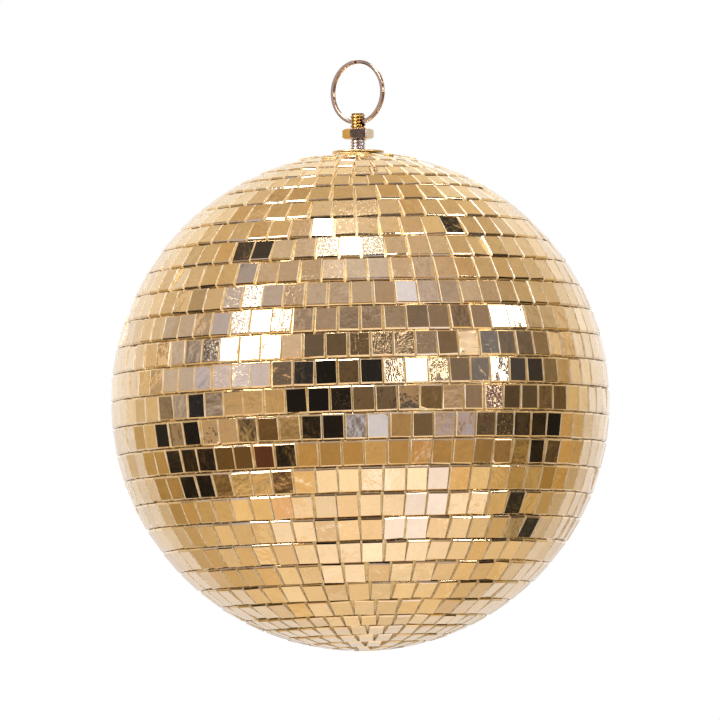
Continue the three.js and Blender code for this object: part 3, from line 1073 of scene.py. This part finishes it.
def studio_lights():
    softbox("overhead_softbox", -20, 75, 13, 10, 24)
    softbox("left_softbox", -52, 28, 21, 23, 18)
    softbox("right_lamp", 62, 11, 13, 13, 12)
    softbox("near_right_lamp", 27, 11, 9, 12, 12)
    softbox("high_right_lamp", 80, 29, 9, 8, 10)


def patch(n, azimuth, elevation, place, size, soft=2.5):
    """Mask of a soft-edged rectangle in the studio, in degrees."""
    sides = []
    for value, middle, half in ((azimuth, place[0], size[0] / 2), (elevation, place[1], size[1] / 2)):
        away = n.maths("ABSOLUTE", n.maths("SUBTRACT", value, middle))
        sides.append(n.between(away, half + soft, max(0.0, half - soft)))
    return n.times(*sides)


BLACK = (0.008, 0.007, 0.007)
SMOKE = (0.035, 0.028, 0.022)
STUDIO_PIECES = (
    ((42, -47), (24, 36), (1.06, 1.08, 1.34)), ((0, 26), (50, 18), (0.13, 0.10, 0.07)),
    ((42, -7), (22, 14), (0.62, 0.50, 0.42)), ((75, -22), (26, 12), (0.30, 0.20, 0.09)),
    ((104, -8), (18, 14), (0.10, 0.07, 0.035)), ((-80, 12), (44, 26), (0.60, 0.56, 0.60)),
    ((-62, 10), (36, 14), (0.58, 0.58, 0.80)), ((-45, -7), (26, 14), (0.60, 0.45, 0.26)),
    ((-64, -24), (58, 18), (0.15, 0.09, 0.035)), ((-70, 34), (22, 40), (0.42, 0.41, 0.52)),
    ((32, 48), (13, 12), (0.80, 0.90, 1.40)),
    ((47, -12), (9, 9), (0.42, 0.52, 1.05)), ((8, -12), (9, 11), (0.70, 0.82, 1.35)),
    ((-3, -12), (9, 11), (0.36, 0.31, 0.28)), ((-46, -42), (12, 20), (0.84, 0.56, 0.34)),
    ((-18, 0), (19, 36), BLACK), ((8, 6), (9, 24), BLACK), ((-56, -12), (8, 10), BLACK),
    ((-38, -25), (9, 10), BLACK), ((-86, -5), (10, 22), BLACK), ((-99, -18), (15, 9), BLACK),
    ((-104, -8), (11, 9), BLACK), ((-97, -27), (21, 10), BLACK), ((-81, -20), (9, 10), BLACK),
    ((-82, 17), (9, 9), SMOKE), ((-90, 54), (19, 15), SMOKE), ((116, 56), (14, 15), BLACK),
    ((41, 10), (8, 10), SMOKE), ((86, 10), (21, 9), SMOKE), ((91, -16), (27, 10), BLACK),
    ((94, -7), (27, 8), BLACK), ((66, -12), (8, 10), SMOKE), ((98, -31), (14, 12), BLACK),
    ((120, -32), (12, 9), BLACK), ((66, 0), (8, 8), (0.11, 0.025, 0.014)),
    ((-47, -25), (8, 9), (0.11, 0.04, 0.025)),
)


def studio_world():
    """What surrounds the ball: pale floor, tan ceiling, a dim room behind the camera and a white backdrop.
    The camera itself sees plain white."""
    world = bpy.data.worlds.new("studio")
    bpy.context.scene.world = world
    n = Nodes(world)
    direction = n.add("ShaderNodeTexCoord").outputs["Generated"]

    def along(axis):
        node = n.add("ShaderNodeVectorMath", {0: direction, 1: tuple(axis)}, operation="DOT_PRODUCT")
        return node.outputs["Value"]

    side, front, up = along(RIGHT), along(LEVEL_BACK), along(Vector((0, 0, 1)))
    azimuth = n.maths("DEGREES", n.maths("ARCTAN2", side, front))
    elevation = n.maths("DEGREES", n.maths("ARCSINE", up))

    # Floor to ceiling, in front and at the sides
    height = n.between(elevation, -90, 90, 0, 1)
    height.node.interpolation_type = "LINEAR"
    shell = n.ramp(height, [
        (0.0, (1.03, 1.01, 1.05)), (0.17, (1.06, 0.97, 0.86)), (0.25, (0.96, 0.80, 0.54)),
        (0.32, (0.90, 0.73, 0.46)), (0.335, (0.56, 0.39, 0.17)), (0.42, (0.48, 0.33, 0.15)),
        (0.48, (0.36, 0.28, 0.21)), (0.66, (0.22, 0.19, 0.20)), (0.80, (0.61, 0.57, 0.60)),
        (0.93, (0.70, 0.68, 0.73)), (1.0, (0.70, 0.65, 0.60)),
    ])
    off_middle = n.maths("DIVIDE", n.maths("SUBTRACT", azimuth, 20), 20)
    edge = n.plus(elevation, n.times(off_middle, off_middle))
    shell = n.mix(n.between(edge, -29.5, -32.5), shell, (1.13, 1.07, 1.08, 1))
    flank = n.ramp(height, [
        (0.0, (1.00, 0.96, 0.93)), (0.20, (0.86, 0.71, 0.49)), (0.31, (0.60, 0.47, 0.27)),
        (0.40, (0.46, 0.33, 0.13)), (0.50, (0.68, 0.55, 0.33)), (0.60, (0.77, 0.68, 0.56)),
        (0.70, (0.68, 0.58, 0.42)), (0.80, (0.62, 0.50, 0.32)), (1.0, (0.72, 0.63, 0.50)),
    ])
    around = n.maths("ABSOLUTE", azimuth)
    shell = n.mix(n.between(around, 60, 100), shell, flank)
    cloud = n.ramp(n.noise(direction, 3.2, 3, 0.6), [(0.3, (0.84, 0.81, 0.76)), (0.7, (1.15, 1.15, 1.14))])
    shell = n.mix(1.0, shell, cloud, "MULTIPLY")

    # Cells, which tell neighbouring tiles apart
    cells = n.add("ShaderNodeTexVoronoi", {
        "Vector": n.scaled(direction, (7.5, 7.5, 6.0)), "Scale": 1.0}, distance="CHEBYCHEV")
    pick = n.channels(cells.outputs["Color"])[0]
    shell = n.mix(1.0, shell, n.ramp(pick, [
        (0.0, (0.90, 0.79, 0.62)), (0.25, (0.96, 0.92, 0.84)), (0.6, (1.03, 1.02, 1.00)),
        (0.85, (1.09, 1.10, 1.16)),
    ], "CONSTANT"), "MULTIPLY")

    # The dim room behind the camera: darker to the right
    across = n.between(azimuth, -110, 130)
    across.node.interpolation_type = "LINEAR"
    room = n.ramp(across, [
        (0.0, (0.46, 0.38, 0.30)), (0.30, (0.50, 0.39, 0.26)), (0.37, (0.11, 0.08, 0.055)),
        (0.50, (0.14, 0.11, 0.075)), (0.64, (0.25, 0.185, 0.12)), (0.78, (0.08, 0.055, 0.026)),
        (1.0, (0.28, 0.20, 0.11)),
    ])
    room = n.mix(1.0, room, n.ramp(pick, [
        (0.0, (0.25, 0.25, 0.25)), (0.25, (0.7, 0.7, 0.7)), (0.55, (1.1, 1.05, 1.0)), (0.8, (2.0, 1.85, 1.6)),
    ], "CONSTANT"), "MULTIPLY")
    band = n.times(n.between(elevation, -22, -13), n.between(elevation, 42, 24))
    ahead = n.between(around, 118, 96)
    surround = n.mix(n.times(band, n.times(ahead, 0.92)), shell, room)

    # The backdrop behind the ball
    behind = n.between(front, -0.50, -0.80)
    surround = n.mix(behind, surround, n.ramp(height, [
        (0.25, (0.86, 0.82, 0.82)), (0.46, (0.80, 0.75, 0.72)), (0.52, (0.96, 0.92, 0.90)),
        (0.62, (0.95, 0.90, 0.84)), (0.72, (0.99, 0.89, 0.70)), (0.80, (1.0, 0.82, 0.45)),
    ]))

    # Fine clutter, which the slight waves of each tile spread into streaks
    clutter = n.noise(n.scaled(direction, (34, 34, 60)), 1, 4, 0.65)
    surround = n.mix(n.between(elevation, -34, -10, 0.35, 1.0), surround, n.ramp(clutter, [
        (0.30, (0.80, 0.79, 0.77)), (0.5, (1.0, 1.0, 1.0)), (0.70, (1.16, 1.17, 1.20)),
    ]), "MULTIPLY")

    # Cards, flags, stands and wood, each at its azimuth and elevation with its width and height
    for place, size, colour in STUDIO_PIECES:
        surround = n.mix(patch(n, azimuth, elevation, place, size), surround, (*colour, 1))

    lighting = n.add("ShaderNodeBackground", {"Color": surround, "Strength": 1.0})
    plain = n.add("ShaderNodeBackground", {"Color": (1, 1, 1, 1), "Strength": 1.0})
    seen = n.add("ShaderNodeLightPath").outputs["Is Camera Ray"]
    both = n.add("ShaderNodeMixShader", {0: seen, 1: lighting.outputs[0], 2: plain.outputs[0]})
    out = n.add("ShaderNodeOutputWorld")
    n.put(out.inputs["Surface"], both.outputs[0])


def studio_floor():
    """A wide pale floor far below the ball."""
    centre = Vector((0, 0, BALL_CENTRE.z - FLOOR_DROP))
    sides = 96
    rim = [centre + spun(FLOOR_RADIUS, TAU * k / sides) for k in range(sides)]
    mesh = mesh_from("studio_floor", rim, [tuple(range(sides))])
    floor = new_object("studio_floor", mesh, floor_material())
    floor.visible_glossy = False


studio_lights()
studio_world()
studio_floor()
bpy.context.scene.view_settings.view_transform = "Standard"
